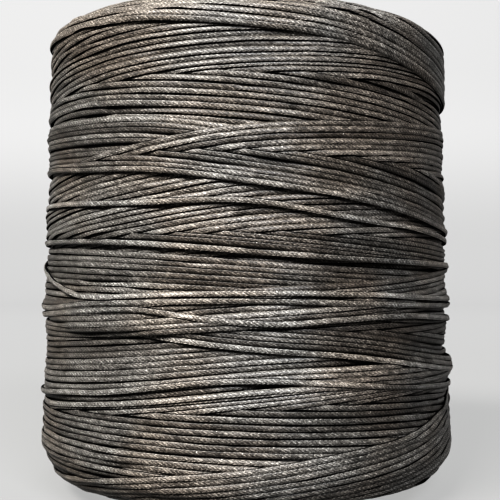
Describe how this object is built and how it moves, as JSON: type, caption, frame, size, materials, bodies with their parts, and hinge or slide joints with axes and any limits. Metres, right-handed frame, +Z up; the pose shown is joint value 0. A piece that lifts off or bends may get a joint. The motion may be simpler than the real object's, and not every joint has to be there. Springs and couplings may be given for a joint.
{
  "type": "waxed thread spool",
  "caption": "Flangeless cross-wound package of flat waxed braided thread on a cardboard tube with push-in end plugs.",
  "frame": {"origin": "on the spool's axis, at the centre of the face the spool stands on", "axes": "+Z up along the spool's axis, from the foot to the label end; -Y is the side seen in the picture"},
  "size_m": [0.0556, 0.0553, 0.0619],
  "materials": {
    "waxed_thread": "flat-braided polyester thread with a wax coat, dark grey-brown, soft sheen",
    "cardboard": "spirally wound kraft tube, matt",
    "plug_plastic": "moulded off-white polypropylene, satin",
    "label_paper": "blank coated paper sticker"
  },
  "bodies": {
    "spool": {"core_tube": "cardboard", "thread_winding": "waxed_thread", "outer_turn_1": "waxed_thread", "outer_turn_2": "waxed_thread", "outer_turn_3": "waxed_thread", "outer_turn_4": "waxed_thread", "outer_turn_5": "waxed_thread", "outer_turn_6": "waxed_thread", "outer_turn_7": "waxed_thread"},
    "top_plug": {"top_end_plug": "plug_plastic", "top_label": "label_paper"},
    "bottom_plug": {"bottom_end_plug": "plug_plastic"}
  },
  "joints": [
    {"name": "top_plug_pull", "type": "slide", "parent": "spool", "child": "top_plug", "axis": [0, 0, 1], "range_m": [0, 0.014]},
    {"name": "bottom_plug_pull", "type": "slide", "parent": "spool", "child": "bottom_plug", "axis": [0, 0, -1], "range_m": [0, 0.014]}
  ]
}
